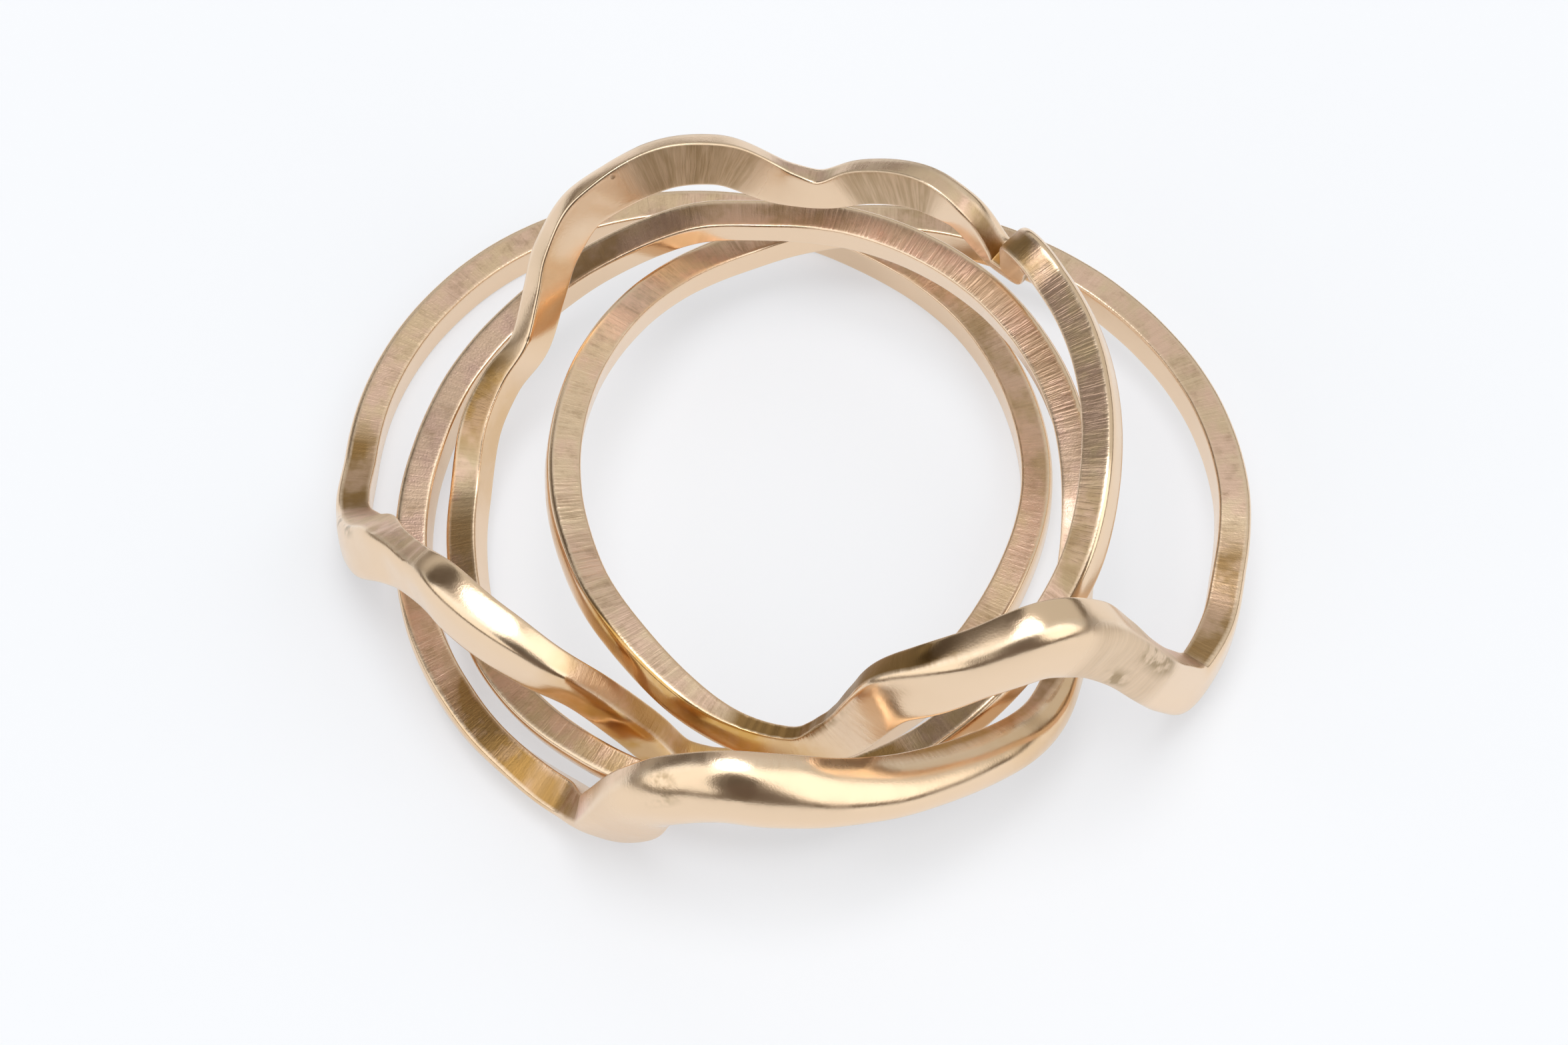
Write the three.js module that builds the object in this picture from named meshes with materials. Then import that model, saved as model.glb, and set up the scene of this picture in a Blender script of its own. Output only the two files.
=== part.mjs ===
// Puzzle ring: four narrow metal bands linked through one another, lying open on a table.
// Millimetres, +Z up. The ring rests on z = 0 and the origin is the middle of its footprint.

import * as THREE from "three";

// ---- Driving sizes ----

const BAND_RADIUS = 9.55; // to the middle of the metal: about 10 outside and 9.1 inside
const EDGE_BREAK = 0.07; // small bevel on the sharp edges of a section
const ROUND_FACETS = 6; // facets round the outer side of a section
const WAVE_STEP = 2.4; // degrees between sections where a band bends quickly
const SLOW_STEP = 5; // degrees between them where it bends slowly
const PLAIN_STEP = 9; // degrees between them where it only goes round
const QUICK_ROWS = 14; // rows closer than this, in degrees, bend quickly

// ---- The bands ----
//
// centre  middle of the band's circle
// tip     x and y of the direction that the circle's axis points in (z makes the length 1)
// rows    one section each, in order round the circle:
//   turn   degrees from +X towards +Y
//   out    how far the section stands outside the circle
//   up     how far it stands above the circle's plane
//   thick  its size across the circle
//   wide   its size along the axis
//   round  how round its outer side is: 0 flat, 1 a half ellipse
//   lean   degrees that its top tips outwards
// The last row joins the first one again, one turn further on.

const ROW_COLUMNS = ["turn", "out", "up", "thick", "wide", "round", "lean"];

const BANDS = [
  {
    // Lowest band: flat on the table, with one long flat-topped hump at its near left.
    name: "bottom_band",
    colour: 0xe2b491,
    centre: [-2.6, 2.75, 0.5],
    tip: [0, 0],
    rows: [
      [-185, 0, 0, 0.95, 1, 0.25, 0],
      [-172, 0.2, 0.4, 1, 1.2, 0.25, 0],
      [-160, 0.17, 2.1, 1.3, 1.6, 0.3, 0],
      [-153.5, -0.02, 3.4, 1.2, 1.7, 0.3, 0],
      [-148, -0.07, 4.02, 0.87, 1.7, 0.35, 0],
      [-143, -0.07, 4.42, 0.87, 1.75, 0.4, 0],
      [-134, 0, 4.93, 1.1, 2, 0.36, 0],
      [-124, 0.05, 4.76, 1.05, 2, 0.36, 0],
      [-116, 0.03, 4.32, 0.9, 1.8, 0.36, 0],
      [-108, -0.22, 3.4, 0.78, 1.5, 0.3, 0],
      [-99, -0.36, 1.7, 0.76, 1.4, 0.3, 0],
      [-92, -0.25, 0.3, 0.9, 1.1, 0.3, 0],
      [-84, -0.1, 0, 0.95, 1, 0.3, 0],
      [-72, 0, 0, 0.95, 1, 0.25, 0],
      [-60, 0, 0, 0.95, 1, 0.25, 0],
      [-30, 0, 0, 0.95, 1, 0.25, 0],
      [5, 0.3, 0, 0.9, 1, 0.25, 0],
      [30, 0.25, 0, 0.9, 1, 0.25, 0],
      [60, 0, 0, 0.95, 1, 0.25, 0],
    ],
  },
  {
    // Right-hand band: a thin valley at the near side, then a broad dome and a low bend.
    name: "right_band",
    colour: 0xe0b390,
    centre: [3.25, 0.95, 3],
    tip: [0.116, 0.065],
    rows: [
      [-165, 0, 0, 0.95, 1, 0.25, 0],
      [-145, 0.2, 0.45, 0.95, 1, 0.25, 0],
      [-131, 0.2, 0.2, 0.85, 1.1, 0.25, 0],
      [-118, -0.1, -0.35, 0.6, 1.2, 0.25, 0],
      [-108, -0.2, 0, 0.55, 1.2, 0.25, 0],
      [-101, -0.38, 1.05, 0.6, 1.4, 0.25, -14],
      [-95, -0.4, 3.2, 0.8, 1.75, 0.3, -18],
      [-89, -0.34, 3.95, 1, 2, 0.35, -10],
      [-80, -0.3, 4.8, 1.2, 2.2, 0.5, 0],
      [-70, -0.3, 5.4, 1.3, 2.4, 0.5, 0],
      [-61, -0.3, 4.75, 1.3, 2.1, 0.5, 0],
      [-54, -0.15, 3.6, 1.15, 1.7, 0.35, 0],
      [-47, 0, 1.95, 1.05, 1.6, 0.3, 0],
      [-41, 0.1, 0.6, 1, 1.6, 0.3, 0],
      [-32, 0.25, -0.8, 0.95, 1.6, 0.3, 0],
      [-22, 0.2, -0.75, 1, 1.4, 0.25, 0],
      [-10, 0.02, -0.3, 0.97, 1.1, 0.25, 0],
      [4, 0, 0, 0.95, 1, 0.25, 0],
      [75, 0, 0, 0.95, 1, 0.25, 0],
      [92, -0.05, 0.1, 0.95, 0.9, 0.25, 0],
      [105, 0.05, -0.15, 0.95, 0.9, 0.25, 0],
      [118, 0.2, -0.55, 0.95, 0.9, 0.25, 0],
      [130, 0.15, -0.4, 0.95, 0.9, 0.25, 0],
      [148, 0, 0, 0.95, 1, 0.25, 0],
    ],
  },
  {
    // Middle band: tips to the near left, with a dome at the near side and a long falling curl.
    name: "middle_band",
    colour: 0xe4b894,
    centre: [-1.1, 0.3, 2.7],
    tip: [-0.164, -0.099],
    rows: [
      [-150, 0.05, -0.1, 1, 1, 0.25, 0],
      [-136, 0.05, -0.05, 1, 1, 0.25, 10],
      [-122, 0.1, -0.2, 1.1, 1.1, 0.2, 20],
      [-114, 0.46, 0.33, 0.95, 1.7, 0.3, 15],
      [-108.5, 0.66, 1.6, 0.97, 2.35, 0.35, 10],
      [-103, 0.8, 3.3, 1.1, 2.2, 0.7, 0],
      [-97, 0.8, 3.98, 1.3, 2.4, 0.85, -4],
      [-90, 0.9, 4.25, 1.3, 2.5, 0.9, -8],
      [-82, 1.1, 3.85, 1.3, 2.4, 0.9, -11],
      [-74, 1.22, 3.05, 1.35, 2, 0.9, -12],
      [-66, 1.24, 2.15, 1.35, 1.75, 0.9, -12],
      [-58, 1.18, 1.2, 1.3, 1.55, 0.85, -10],
      [-47, 1.15, -0.1, 1.15, 1.45, 0.8, -8],
      [-37, 0.85, -1.3, 1.05, 1.3, 0.7, -4],
      [-26, 0.35, -1.7, 0.95, 1.2, 0.4, 0],
      [-15, 0, -0.8, 0.95, 1.1, 0.25, 0],
      [0, 0, 0, 0.95, 1, 0.25, 0],
      [75, 0, 0, 0.95, 1, 0.25, 0],
      [88, -0.15, 0.3, 0.95, 0.9, 0.25, 0],
      [98, -0.2, 0.65, 0.95, 0.9, 0.25, 0],
      [112, -0.15, 0.4, 0.95, 0.9, 0.25, 0],
      [130, 0, 0, 0.95, 1, 0.25, 0],
      [147, 0.1, -0.15, 0.95, 1, 0.25, 0],
      [165, 0, 0, 0.95, 1, 0.25, 0],
    ],
  },
  {
    // Top band: tips steeply to the left; two humps, a dip and a sharp notch at the far side.
    name: "top_band",
    colour: 0xdfb08c,
    centre: [-0.1, 0.4, 4.2],
    tip: [-0.349, -0.097],
    rows: [
      [-165, 0, 0, 0.95, 1, 0.25, 0],
      [-146, -0.15, 0.5, 0.95, 1, 0.25, 0],
      [-130, -0.22, 0.46, 0.9, 0.95, 0.25, 0],
      [-114, -0.2, 0, 0.85, 0.9, 0.25, 0],
      [-97, -0.3, -0.6, 0.9, 0.95, 0.25, 0],
      [-79, -0.85, -1.7, 0.95, 0.95, 0.25, 0],
      [-64, -1.15, -2.2, 0.95, 0.9, 0.25, 0],
      [-50, -1.2, -2.2, 0.95, 0.9, 0.25, 0],
      [-36, -0.75, -1.5, 0.95, 0.95, 0.25, 0],
      [-21, -0.15, -0.5, 0.95, 1, 0.25, 0],
      [-6, 0, 0, 0.95, 1, 0.25, 0],
      [30, 0, 0, 1, 1.05, 0.25, 0],
      [35.5, 0.05, 0.3, 1, 1.15, 0.3, 0],
      [38.5, 0.05, 0.2, 1, 1.1, 0.3, 0],
      [42.8, -0.25, -1.35, 0.9, 0.8, 0.3, 0],
      [47.5, -0.25, -1.35, 0.9, 0.8, 0.4, 0],
      [52.5, 0, 0.1, 0.9, 1.2, 0.5, 8],
      [59.5, 0, 0.75, 0.9, 1.25, 0.5, 26],
      [72, -0.1, 0.5, 0.8, 1.25, 0.5, 22],
      [80, -0.3, 0.28, 0.72, 1.12, 0.4, 15],
      [87, -0.2, 0.75, 0.7, 1.3, 0.5, 20],
      [95, 0, 2.4, 0.9, 1.35, 0.5, 28],
      [105, 0, 3.2, 0.9, 1.4, 0.6, 28],
      [118, 0, 3.3, 0.9, 1.35, 0.5, 14],
      [128, -0.12, 2.6, 0.9, 1.3, 0.4, 5],
      [134, -0.42, 2.05, 0.85, 1.2, 0.3, 4],
      [143, -0.72, 1.38, 0.8, 1.15, 0.25, 3],
      [151, -0.32, 1.02, 0.9, 1.05, 0.25, 0],
      [159, -0.12, 0.7, 0.95, 1, 0.25, 0],
      [172, 0, 0, 0.95, 1, 0.25, 0],
    ],
  },
];

const ROUGHNESS = 0.3;
const METALNESS = 1;

// ---- Small helpers ----

const radians = THREE.MathUtils.degToRad;

function namedRow(values) {
  return Object.fromEntries(ROW_COLUMNS.map((column, index) => [column, values[index]]));
}

// Slopes at the rows for a curve that never overshoots them: flat at each turning point.
function slopesOf(turns, values) {
  const slopes = turns.map(() => 0);
  for (let i = 1; i < turns.length - 1; i += 1) {
    const before = turns[i] - turns[i - 1];
    const after = turns[i + 1] - turns[i];
    const rise = (values[i] - values[i - 1]) / before;
    const nextRise = (values[i + 1] - values[i]) / after;
    if (rise * nextRise > 0) {
      const weight = 2 * after + before;
      const nextWeight = after + 2 * before;
      slopes[i] = (weight + nextWeight) / (weight / rise + nextWeight / nextRise);
    }
  }
  return slopes;
}

// A smooth curve through one column of the rows.
function columnCurve(rows, column) {
  const turns = rows.map((row) => row.turn);
  const values = rows.map((row) => row[column]);
  const slopes = slopesOf(turns, values);
  return (turn) => {
    let i = 0;
    while (i < turns.length - 2 && turn >= turns[i + 1]) {
      i += 1;
    }
    const span = turns[i + 1] - turns[i];
    const s = (turn - turns[i]) / span;
    const rest = 1 - s;
    const start = (1 + 2 * s) * rest * rest * values[i] + s * rest * rest * span * slopes[i];
    const end = s * s * (3 - 2 * s) * values[i + 1] - s * s * rest * span * slopes[i + 1];
    return start + end;
  };
}

// The rows once round, closed by the first row one turn on.
function closedRows(band) {
  const rows = band.rows.map(namedRow);
  return [...rows, { ...rows[0], turn: rows[0].turn + 360 }];
}

function sameSection(row, next) {
  return ROW_COLUMNS.slice(1).every((column) => row[column] === next[column]);
}

// Angles of all the sections of a band: close together where it bends, wide apart elsewhere.
function sectionTurns(rows) {
  const turns = [];
  for (let i = 0; i < rows.length - 1; i += 1) {
    const gap = rows[i + 1].turn - rows[i].turn;
    let step = gap <= QUICK_ROWS ? WAVE_STEP : SLOW_STEP;
    if (sameSection(rows[i], rows[i + 1])) {
      step = PLAIN_STEP;
    }
    const count = Math.ceil(gap / step);
    for (let k = 0; k < count; k += 1) {
      turns.push(rows[i].turn + (gap * k) / count);
    }
  }
  return turns;
}

// Outline of one section: flat inner side and flat top and bottom, rounded outer side.
// Points are [across, along]: across is outwards from the middle, along is up the axis.
function sectionOutline(thick, wide, round) {
  const halfThick = thick / 2;
  const halfWide = wide / 2;
  const nose = Math.max(EDGE_BREAK, round * thick);
  const points = [
    [-halfThick, EDGE_BREAK - halfWide],
    [-halfThick, halfWide - EDGE_BREAK],
    [EDGE_BREAK - halfThick, halfWide],
  ];
  for (let i = 0; i <= ROUND_FACETS; i += 1) {
    const angle = Math.PI / 2 - (Math.PI * i) / ROUND_FACETS;
    points.push([halfThick - nose + nose * Math.cos(angle), halfWide * Math.sin(angle)]);
  }
  points.push([EDGE_BREAK - halfThick, -halfWide]);
  return points;
}

// ---- One band ----

// Middle of each section, in the band's own frame with its axis along +Z.
function sectionMiddles(turns, out, up) {
  return turns.map((turn) => {
    const radius = BAND_RADIUS + out(turn);
    const angle = radians(turn);
    return new THREE.Vector3(radius * Math.cos(angle), radius * Math.sin(angle), up(turn));
  });
}

// Directions of a section: outwards and up, both square to the way the band runs.
function sectionAxes(middles, index, turn, lean) {
  const count = middles.length;
  const next = middles[(index + 1) % count];
  const previous = middles[(index + count - 1) % count];
  const along = next.clone().sub(previous).normalize();
  const outward = new THREE.Vector3(Math.cos(radians(turn)), Math.sin(radians(turn)), 0);
  outward.addScaledVector(along, -outward.dot(along)).normalize();
  const upward = outward.clone().cross(along);
  const tip = radians(lean);
  return {
    outward: outward.clone().multiplyScalar(Math.cos(tip)).addScaledVector(upward, -Math.sin(tip)),
    upward: upward.clone().multiplyScalar(Math.cos(tip)).addScaledVector(outward, Math.sin(tip)),
  };
}

// Two triangles between each pair of neighbouring outline points of neighbouring sections.
function tubeFaces(sectionCount, pointCount) {
  const faces = [];
  for (let i = 0; i < sectionCount; i += 1) {
    const next = (i + 1) % sectionCount;
    for (let k = 0; k < pointCount; k += 1) {
      const beside = (k + 1) % pointCount;
      const a = i * pointCount + k;
      const b = i * pointCount + beside;
      const c = next * pointCount + beside;
      const d = next * pointCount + k;
      faces.push(a, b, c, a, c, d);
    }
  }
  return faces;
}

function bandGeometry(band) {
  const rows = closedRows(band);
  const turns = sectionTurns(rows);
  const curve = Object.fromEntries(
    ROW_COLUMNS.slice(1).map((column) => [column, columnCurve(rows, column)]),
  );
  const middles = sectionMiddles(turns, curve.out, curve.up);
  const positions = [];
  let pointCount = 0;
  turns.forEach((turn, index) => {
    const { outward, upward } = sectionAxes(middles, index, turn, curve.lean(turn));
    const outline = sectionOutline(curve.thick(turn), curve.wide(turn), curve.round(turn));
    pointCount = outline.length;
    for (const [across, along] of outline) {
      const point = middles[index].clone();
      point.addScaledVector(outward, across).addScaledVector(upward, along);
      positions.push(point.x, point.y, point.z);
    }
  });
  const geometry = new THREE.BufferGeometry();
  geometry.setAttribute("position", new THREE.Float32BufferAttribute(positions, 3));
  geometry.setIndex(tubeFaces(turns.length, pointCount));
  return geometry;
}

// The band where it lies: its axis turned from +Z to the direction it tips in.
function bandMesh(band) {
  const material = new THREE.MeshStandardMaterial({
    name: "rose_gold",
    color: band.colour,
    roughness: ROUGHNESS,
    metalness: METALNESS,
  });
  const [tipX, tipY] = band.tip;
  const axis = new THREE.Vector3(tipX, tipY, Math.sqrt(1 - tipX * tipX - tipY * tipY));
  const geometry = bandGeometry(band);
  geometry.applyQuaternion(
    new THREE.Quaternion().setFromUnitVectors(new THREE.Vector3(0, 0, 1), axis),
  );
  geometry.computeVertexNormals();
  const mesh = new THREE.Mesh(geometry, material);
  mesh.name = band.name;
  mesh.position.set(...band.centre);
  return mesh;
}

// ---- The puzzle ring ----

const group = new THREE.Group();
for (const band of BANDS) {
  group.add(bandMesh(band));
}

// Rest the lowest point on z = 0 and put the origin in the middle of the footprint.
const extent = new THREE.Box3().setFromObject(group, true);
const middle = extent.getCenter(new THREE.Vector3());
const home = new THREE.Vector3(-middle.x, -middle.y, -extent.min.z);
for (const mesh of group.children) {
  mesh.position.add(home);
}

export default group;
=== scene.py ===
# %% [markdown]
# # A puzzle ring of four linked bands
#
# A puzzle ring is a set of thin metal bands that run through one another. Worn, they nest
# into one knot. Taken off, they fall open into a loose heap, as here.
# Each band is a narrow strip of rose gold. Its back is a plain hoop, and its front is
# hammered and filed into waves and domes. This lesson bends four plain hoops into those
# four bands, gives them a goldsmith's finish, and sets them on a white table.
#
# The CAD model of the ring comes first. It fixes every place and size.

# %% Load the frame
import math
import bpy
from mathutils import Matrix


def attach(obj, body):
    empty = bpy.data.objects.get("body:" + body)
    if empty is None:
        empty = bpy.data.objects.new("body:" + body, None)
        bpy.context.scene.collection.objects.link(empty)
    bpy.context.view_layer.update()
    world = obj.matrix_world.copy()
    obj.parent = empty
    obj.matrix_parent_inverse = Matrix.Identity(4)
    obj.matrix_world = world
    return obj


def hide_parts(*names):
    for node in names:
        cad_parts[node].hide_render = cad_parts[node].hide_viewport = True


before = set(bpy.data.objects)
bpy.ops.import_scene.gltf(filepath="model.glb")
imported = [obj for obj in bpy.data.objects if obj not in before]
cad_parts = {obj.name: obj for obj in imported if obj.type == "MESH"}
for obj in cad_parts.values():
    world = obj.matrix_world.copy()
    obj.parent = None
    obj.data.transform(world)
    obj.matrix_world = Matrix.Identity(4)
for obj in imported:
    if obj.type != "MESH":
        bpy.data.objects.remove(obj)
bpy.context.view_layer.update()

from types import SimpleNamespace

import bpy
import numpy as np
from mathutils import Vector

print("CAD nodes:", sorted(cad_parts))

# %% [markdown]
# ## Sizes
#
# Jewellers think in millimetres and Blender in metres, so one factor turns one into the
# other. `HOME` moves the four bands so that the heap stands in the middle of the table.

# %% Sizes
MM = 0.001
HOME = (-0.2140, -0.7568, 0.0007)
BAND_RADIUS = 9.55  # to the middle of the metal
STATIONS = 1080  # sections round a band
EDGE_BREAK = 0.075  # how far the sharp inner edges have worn round
print(f"hoops of {2 * BAND_RADIUS:.1f} mm, a section every {360 / STATIONS:.2f} degrees")

# %% [markdown]
# ## What bends each band
#
# A wave is easiest to say as a table. Each row is one place round the hoop, and says how
# far the metal stands out and up there, how thick and wide it is, how round its outer
# side has been polished, and how far it leans. The places between the rows follow on a
# smooth curve. The alternative, pulling points about by hand, could never be repeated.
#
# A turn of 0 is at the right, and -90 is at the front. `centre` is where the middle of
# the plain hoop lies, and `tip` how far its axis leans to the right and to the back.

# %% The columns
COLUMNS = ("turn", "out", "up", "thick", "wide", "round", "lean")
BANDS = {}
print("each row gives:", ", ".join(COLUMNS))

# %% [markdown]
# ## The lowest band
#
# It lies flat on the table. Its knot is a hump at the front left that rises steeply, turns
# over a broad polished top and drops again, twice as wide there as on the plain back.

# %% The bottom band
BANDS["bottom_band"] = {
    "centre": (-2.6, 2.75, 0.5),
    "tip": (0.0, 0.0),
    "rows": [
        (-185, 0, 0, 0.95, 1.0, 0.25, 0),
        (-172, 0.2, 0.4, 1.0, 1.2, 0.25, 0),
        (-160, 0.17, 2.1, 1.3, 1.6, 0.3, 0),
        (-153.5, -0.02, 3.4, 1.2, 1.7, 0.3, 0),
        (-148, -0.07, 4.02, 0.87, 1.7, 0.35, 0),
        (-143, -0.07, 4.42, 0.87, 1.75, 0.4, 0),
        (-134, 0, 4.93, 1.1, 2.0, 0.36, 0),
        (-124, 0.05, 4.76, 1.05, 2.0, 0.36, 0),
        (-116, 0.03, 4.32, 0.9, 1.8, 0.36, 0),
        (-108, -0.22, 3.4, 0.78, 1.5, 0.3, 0),
        (-99, -0.36, 1.7, 0.76, 1.4, 0.3, 0),
        (-92, -0.25, 0.3, 0.9, 1.1, 0.3, 0),
        (-84, -0.1, 0, 0.95, 1.0, 0.3, 0),
        (-72, 0, 0, 0.95, 1.0, 0.25, 0),
        (-60, 0, 0, 0.95, 1.0, 0.25, 0),
        (-30, 0, 0, 0.95, 1.0, 0.25, 0),
        (5, 0.3, 0, 0.9, 1.0, 0.25, 0),
        (30, 0.25, 0, 0.9, 1.0, 0.25, 0),
        (60, 0, 0, 0.95, 1.0, 0.25, 0),
    ],
}
print("bottom_band is bent at", len(BANDS["bottom_band"]["rows"]), "places")

# %% [markdown]
# ## The right-hand band
#
# It first dips into a valley where the file has left it thin. Then it climbs into the
# highest dome of the ring, falls down a facet that was ground, and turns through a low
# bend at the right.

# %% The right band
BANDS["right_band"] = {
    "centre": (3.25, 0.95, 3.0),
    "tip": (0.116, 0.065),
    "rows": [
        (-165, 0, 0, 0.95, 1.0, 0.25, 0),
        (-145, 0.2, 0.45, 0.95, 1.0, 0.25, 0),
        (-131, 0.2, 0.2, 0.85, 1.1, 0.25, 0),
        (-118, -0.1, -0.35, 0.6, 1.2, 0.25, 0),
        (-108, -0.2, 0, 0.55, 1.2, 0.25, 0),
        (-101, -0.38, 1.05, 0.6, 1.4, 0.25, -14),
        (-95, -0.4, 3.2, 0.8, 1.75, 0.3, -18),
        (-89, -0.34, 3.95, 1.0, 2.0, 0.35, -10),
        (-80, -0.3, 4.8, 1.2, 2.2, 0.5, 0),
        (-70, -0.3, 5.4, 1.3, 2.4, 0.5, 0),
        (-61, -0.3, 4.75, 1.3, 2.1, 0.5, 0),
        (-54, -0.15, 3.6, 1.15, 1.7, 0.35, 0),
        (-47, 0, 1.95, 1.05, 1.6, 0.3, 0),
        (-41, 0.1, 0.6, 1.0, 1.6, 0.3, 0),
        (-32, 0.25, -0.8, 0.95, 1.6, 0.3, 0),
        (-22, 0.2, -0.75, 1.0, 1.4, 0.25, 0),
        (-10, 0.02, -0.3, 0.97, 1.1, 0.25, 0),
        (4, 0, 0, 0.95, 1.0, 0.25, 0),
        (75, 0, 0, 0.95, 1.0, 0.25, 0),
        (92, -0.05, 0.1, 0.95, 0.9, 0.25, 0),
        (105, 0.05, -0.15, 0.95, 0.9, 0.25, 0),
        (118, 0.2, -0.55, 0.95, 0.9, 0.25, 0),
        (130, 0.15, -0.4, 0.95, 0.9, 0.25, 0),
        (148, 0, 0, 0.95, 1.0, 0.25, 0),
    ],
}
print("right_band is bent at", len(BANDS["right_band"]["rows"]), "places")

# %% [markdown]
# ## The second band
#
# Its dome at the front is polished nearly to a half round, and runs out into a long curl
# that falls below the hoop. The dome also stands out from the hoop by a millimetre.

# %% The middle band
BANDS["middle_band"] = {
    "centre": (-1.1, 0.3, 2.7),
    "tip": (-0.164, -0.099),
    "rows": [
        (-150, 0.05, -0.1, 1.0, 1.0, 0.25, 0),
        (-136, 0.05, -0.05, 1.0, 1.0, 0.25, 10),
        (-122, 0.1, -0.2, 1.1, 1.1, 0.2, 20),
        (-114, 0.46, 0.33, 0.95, 1.7, 0.3, 15),
        (-108.5, 0.66, 1.6, 0.97, 2.35, 0.35, 10),
        (-103, 0.8, 3.3, 1.1, 2.2, 0.7, 0),
        (-97, 0.8, 3.98, 1.3, 2.4, 0.85, -4),
        (-90, 0.9, 4.25, 1.3, 2.5, 0.9, -8),
        (-82, 1.1, 3.85, 1.3, 2.4, 0.9, -11),
        (-74, 1.22, 3.05, 1.35, 2.0, 0.9, -12),
        (-66, 1.24, 2.15, 1.35, 1.75, 0.9, -12),
        (-58, 1.18, 1.2, 1.3, 1.55, 0.85, -10),
        (-47, 1.15, -0.1, 1.15, 1.45, 0.8, -8),
        (-37, 0.85, -1.3, 1.05, 1.3, 0.7, -4),
        (-26, 0.35, -1.7, 0.95, 1.2, 0.4, 0),
        (-15, 0, -0.8, 0.95, 1.1, 0.25, 0),
        (0, 0, 0, 0.95, 1.0, 0.25, 0),
        (75, 0, 0, 0.95, 1.0, 0.25, 0),
        (88, -0.15, 0.3, 0.95, 0.9, 0.25, 0),
        (98, -0.2, 0.65, 0.95, 0.9, 0.25, 0),
        (112, -0.15, 0.4, 0.95, 0.9, 0.25, 0),
        (130, 0, 0, 0.95, 1.0, 0.25, 0),
        (147, 0.1, -0.15, 0.95, 1.0, 0.25, 0),
        (165, 0, 0, 0.95, 1.0, 0.25, 0),
    ],
}
print("middle_band is bent at", len(BANDS["middle_band"]["rows"]), "places")

# %% [markdown]
# ## The highest band
#
# It leans steeply to the left over the other three. Its knot is at the back: a sharp
# notch, a low hump, a dip and a tall hump, with their tops tilted outwards. Its front
# sags, to pass under a band that it is linked with.

# %% The top band
BANDS["top_band"] = {
    "centre": (-0.1, 0.4, 4.2),
    "tip": (-0.349, -0.097),
    "rows": [
        (-165, 0, 0, 0.95, 1.0, 0.25, 0),
        (-146, -0.15, 0.5, 0.95, 1.0, 0.25, 0),
        (-130, -0.22, 0.46, 0.9, 0.95, 0.25, 0),
        (-114, -0.2, 0, 0.85, 0.9, 0.25, 0),
        (-97, -0.3, -0.6, 0.9, 0.95, 0.25, 0),
        (-79, -0.85, -1.7, 0.95, 0.95, 0.25, 0),
        (-64, -1.15, -2.2, 0.95, 0.9, 0.25, 0),
        (-50, -1.2, -2.2, 0.95, 0.9, 0.25, 0),
        (-36, -0.75, -1.5, 0.95, 0.95, 0.25, 0),
        (-21, -0.15, -0.5, 0.95, 1.0, 0.25, 0),
        (-6, 0, 0, 0.95, 1.0, 0.25, 0),
        (30, 0, 0, 1.0, 1.05, 0.25, 0),
        (35.5, 0.05, 0.3, 1.0, 1.15, 0.3, 0),
        (38.5, 0.05, 0.2, 1.0, 1.1, 0.3, 0),
        (42.8, -0.25, -1.35, 0.9, 0.8, 0.3, 0),
        (47.5, -0.25, -1.35, 0.9, 0.8, 0.4, 0),
        (52.5, 0, 0.1, 0.9, 1.2, 0.5, 8),
        (59.5, 0, 0.75, 0.9, 1.25, 0.5, 26),
        (72, -0.1, 0.5, 0.8, 1.25, 0.5, 22),
        (80, -0.3, 0.28, 0.72, 1.12, 0.4, 15),
        (87, -0.2, 0.75, 0.7, 1.3, 0.5, 20),
        (95, 0, 2.4, 0.9, 1.35, 0.5, 28),
        (105, 0, 3.2, 0.9, 1.4, 0.6, 28),
        (118, 0, 3.3, 0.9, 1.35, 0.5, 14),
        (128, -0.12, 2.6, 0.9, 1.3, 0.4, 5),
        (134, -0.42, 2.05, 0.85, 1.2, 0.3, 4),
        (143, -0.72, 1.38, 0.8, 1.15, 0.25, 3),
        (151, -0.32, 1.02, 0.9, 1.05, 0.25, 0),
        (159, -0.12, 0.7, 0.95, 1.0, 0.25, 0),
        (172, 0, 0, 0.95, 1.0, 0.25, 0),
    ],
}
print("top_band is bent at", len(BANDS["top_band"]["rows"]), "places")

# %% [markdown]
# ## A smooth curve through the rows
#
# The curve between two rows must not swing past them, or a straight shank would ripple
# beside each wave. A Hermite curve that is level at every turning point never does.

# %% The curve
def slopes_of(turns, values):
    """The slope at each row, level wherever the values turn back."""
    steps = np.diff(turns)
    rises = np.diff(values) / steps
    slopes = np.zeros(len(turns))
    for i in range(1, len(turns) - 1):
        if rises[i - 1] * rises[i] > 0:
            before = 2 * steps[i] + steps[i - 1]
            after = steps[i] + 2 * steps[i - 1]
            slopes[i] = (before + after) / (before / rises[i - 1] + after / rises[i])
    return slopes


def through_rows(turns, values, places):
    """The value of one column at many places round the hoop."""
    slopes = slopes_of(turns, values)
    i = np.clip(np.searchsorted(turns, places, side="right") - 1, 0, len(turns) - 2)
    span = turns[i + 1] - turns[i]
    s = (places - turns[i]) / span
    rest = 1 - s
    start = (1 + 2 * s) * rest**2 * values[i] + s * rest**2 * span * slopes[i]
    end = s**2 * (3 - 2 * s) * values[i + 1] - s**2 * rest * span * slopes[i + 1]
    return start + end


step = through_rows(np.array([0.0, 10.0, 20.0]), np.array([0.0, 1.0, 1.0]), np.array([5.0]))
print(f"halfway along a step of 1 the curve stands at {step[0]:.2f}")

# %% [markdown]
# ## Round the whole hoop
#
# Metal that was bent with pliers and hammer has no sudden change of bend. So each value
# is also averaged with its neighbours, over a few degrees.

# %% Curves of a band
EASE = 7  # stations on each side that a value is averaged with


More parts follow.
